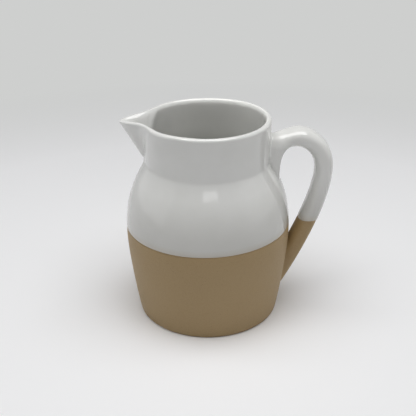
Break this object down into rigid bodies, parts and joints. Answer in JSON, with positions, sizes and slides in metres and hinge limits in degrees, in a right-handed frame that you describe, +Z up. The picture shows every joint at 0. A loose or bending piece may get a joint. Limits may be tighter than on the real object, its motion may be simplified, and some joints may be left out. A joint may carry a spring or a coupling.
{
  "type": "stoneware jug",
  "caption": "Two-tone stoneware pitcher: round body, straight neck, pointed beak spout and strap handle, white glaze above a dip line over bare tan clay.",
  "frame": {"origin": "centre of the foot, on the table plane", "axes": "+Z up along the body's axis, -X towards the spout, +X towards the handle, Y across"},
  "size_m": [0.1915, 0.152, 0.19],
  "materials": {
    "stoneware": "matte, bare fired clay with a fine grain",
    "glazed_stoneware": "glossy white glaze over stoneware",
    "white_glaze": "glossy white glaze"
  },
  "bodies": {
    "root": {"jug_body": "stoneware", "spout": "glazed_stoneware", "handle": "stoneware", "liner_glaze": "white_glaze", "dip_glaze": "white_glaze", "handle_glaze": "white_glaze"}
  },
  "joints": []
}
